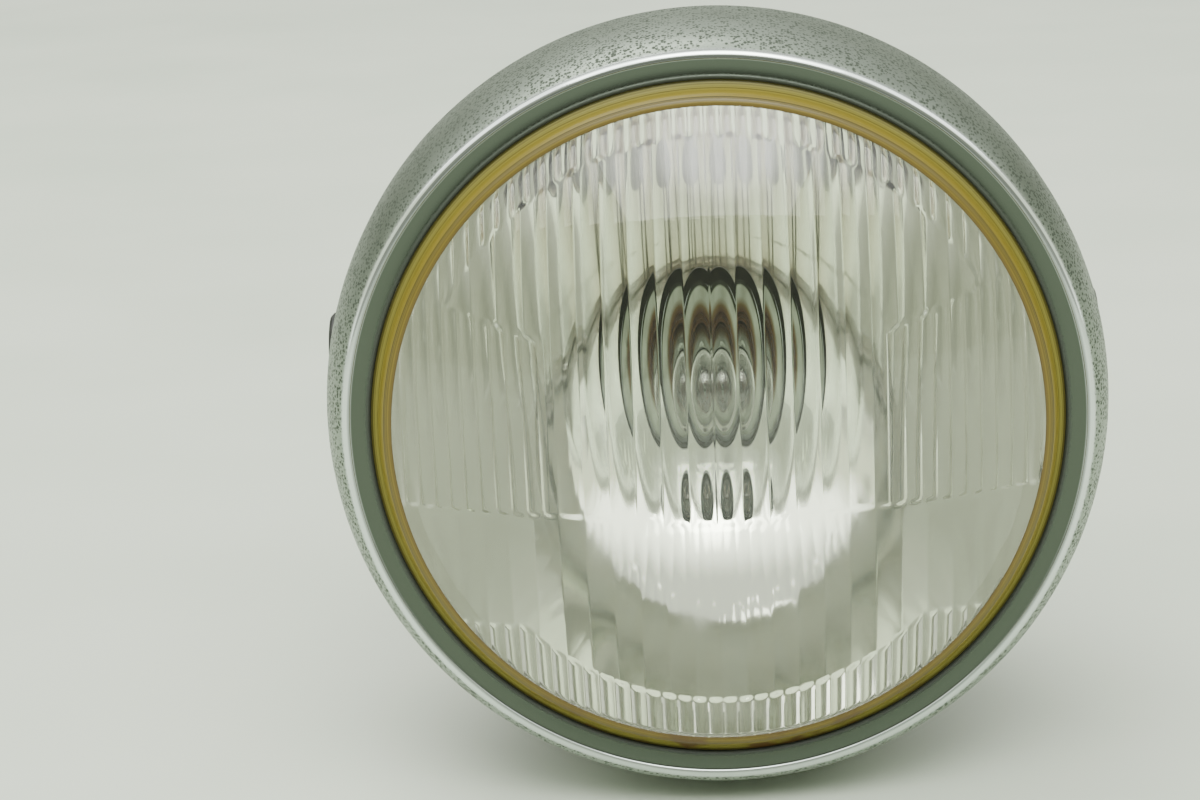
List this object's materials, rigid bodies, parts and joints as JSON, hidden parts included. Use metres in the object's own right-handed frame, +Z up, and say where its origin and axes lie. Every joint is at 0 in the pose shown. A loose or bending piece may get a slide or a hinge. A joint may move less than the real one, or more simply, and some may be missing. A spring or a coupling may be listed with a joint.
{
  "type": "motorcycle headlight",
  "caption": "Round motorcycle headlight: a bright rim with a fluted glass lens, mirror and bulbs, hooked onto a deep black steel bucket with side ears.",
  "frame": {"origin": "on the lamp's axis, midway between the two ear bolt holes", "axes": "-Y is forward, the way the lens looks; +Z up; +X to the right of a viewer who faces the lens, along the right ear's bolt"},
  "size_m": [0.199, 0.1748, 0.1912],
  "materials": {
    "black_paint": "gloss black paint on pressed steel",
    "black_rubber": "moulded rubber, matt",
    "phenolic": "moulded phenolic",
    "brass": "dull brass",
    "plated_steel": "zinc plated steel",
    "spring_steel": "plated spring wire",
    "rim_plate": "old bright plating, dulled and pitted on the band, polished at the shoulder",
    "lens_glass": "clear pressed glass with upright flutes",
    "sealant": "aged yellowed sealant, glossy",
    "mirror_coat": "aluminised mirror",
    "bulb_glass": "thin clear blown glass",
    "tungsten": "drawn lamp wire and pressed shield"
  },
  "bodies": {
    "bucket_body": {"bucket": "black_paint", "ear_bush_left": "black_paint", "ear_bush_right": "black_paint", "mouth_gasket": "black_rubber", "harness_grommet": "black_rubber", "hook_plate": "black_paint", "catch_plate": "black_paint", "terminal_block": "phenolic", "terminal_screws": "brass", "earth_tag": "brass", "earth_screw": "plated_steel"},
    "rim_unit": {"rim": "rim_plate", "clip_ring": "plated_steel", "top_hook": "plated_steel", "rim_nut": "plated_steel", "lens": "lens_glass", "lens_seal": "sealant", "front_gasket": "black_rubber", "reflector": "mirror_coat", "unit_clips": "spring_steel", "bulb_collar": "plated_steel", "bulb_glass": "bulb_glass", "bulb_stem": "bulb_glass", "filament_main": "tungsten", "filament_dip": "tungsten", "filament_supports": "tungsten", "dip_shield": "tungsten", "bulb_base": "brass", "base_insulator": "phenolic", "base_contacts": "brass"},
    "cap": {"spring_cap": "plated_steel", "cap_spring": "spring_steel"},
    "socket": {"bulb_socket": "phenolic", "socket_tails": "brass"},
    "pilot": {"pilot_holder": "plated_steel", "pilot_glass": "bulb_glass", "pilot_base": "brass", "pilot_filament": "tungsten", "pilot_tail": "brass"},
    "screw": {"rim_screw": "plated_steel", "rim_screw_washer": "plated_steel"}
  },
  "joints": [
    {"name": "rim_swing", "type": "hinge", "parent": "bucket_body", "child": "rim_unit", "pos_m": [0, -0.0534, 0.09], "axis": [-1, 0, 0], "range_deg": [0, 20]},
    {"name": "rim_screw_turn", "type": "hinge", "parent": "rim_unit", "child": "screw", "pos_m": [0, -0.056, -0.094], "axis": [0, 0, 1], "continuous": true},
    {"name": "cap_turn", "type": "hinge", "parent": "rim_unit", "child": "cap", "pos_m": [0, -0.01, 0], "axis": [0, -1, 0], "range_deg": [0, 20]},
    {"name": "socket_pull", "type": "slide", "parent": "rim_unit", "child": "socket", "axis": [0, 1, 0], "range_m": [0, 0.012]},
    {"name": "pilot_pull", "type": "slide", "parent": "rim_unit", "child": "pilot", "axis": [0, 1, 0], "range_m": [0, 0.016]}
  ]
}
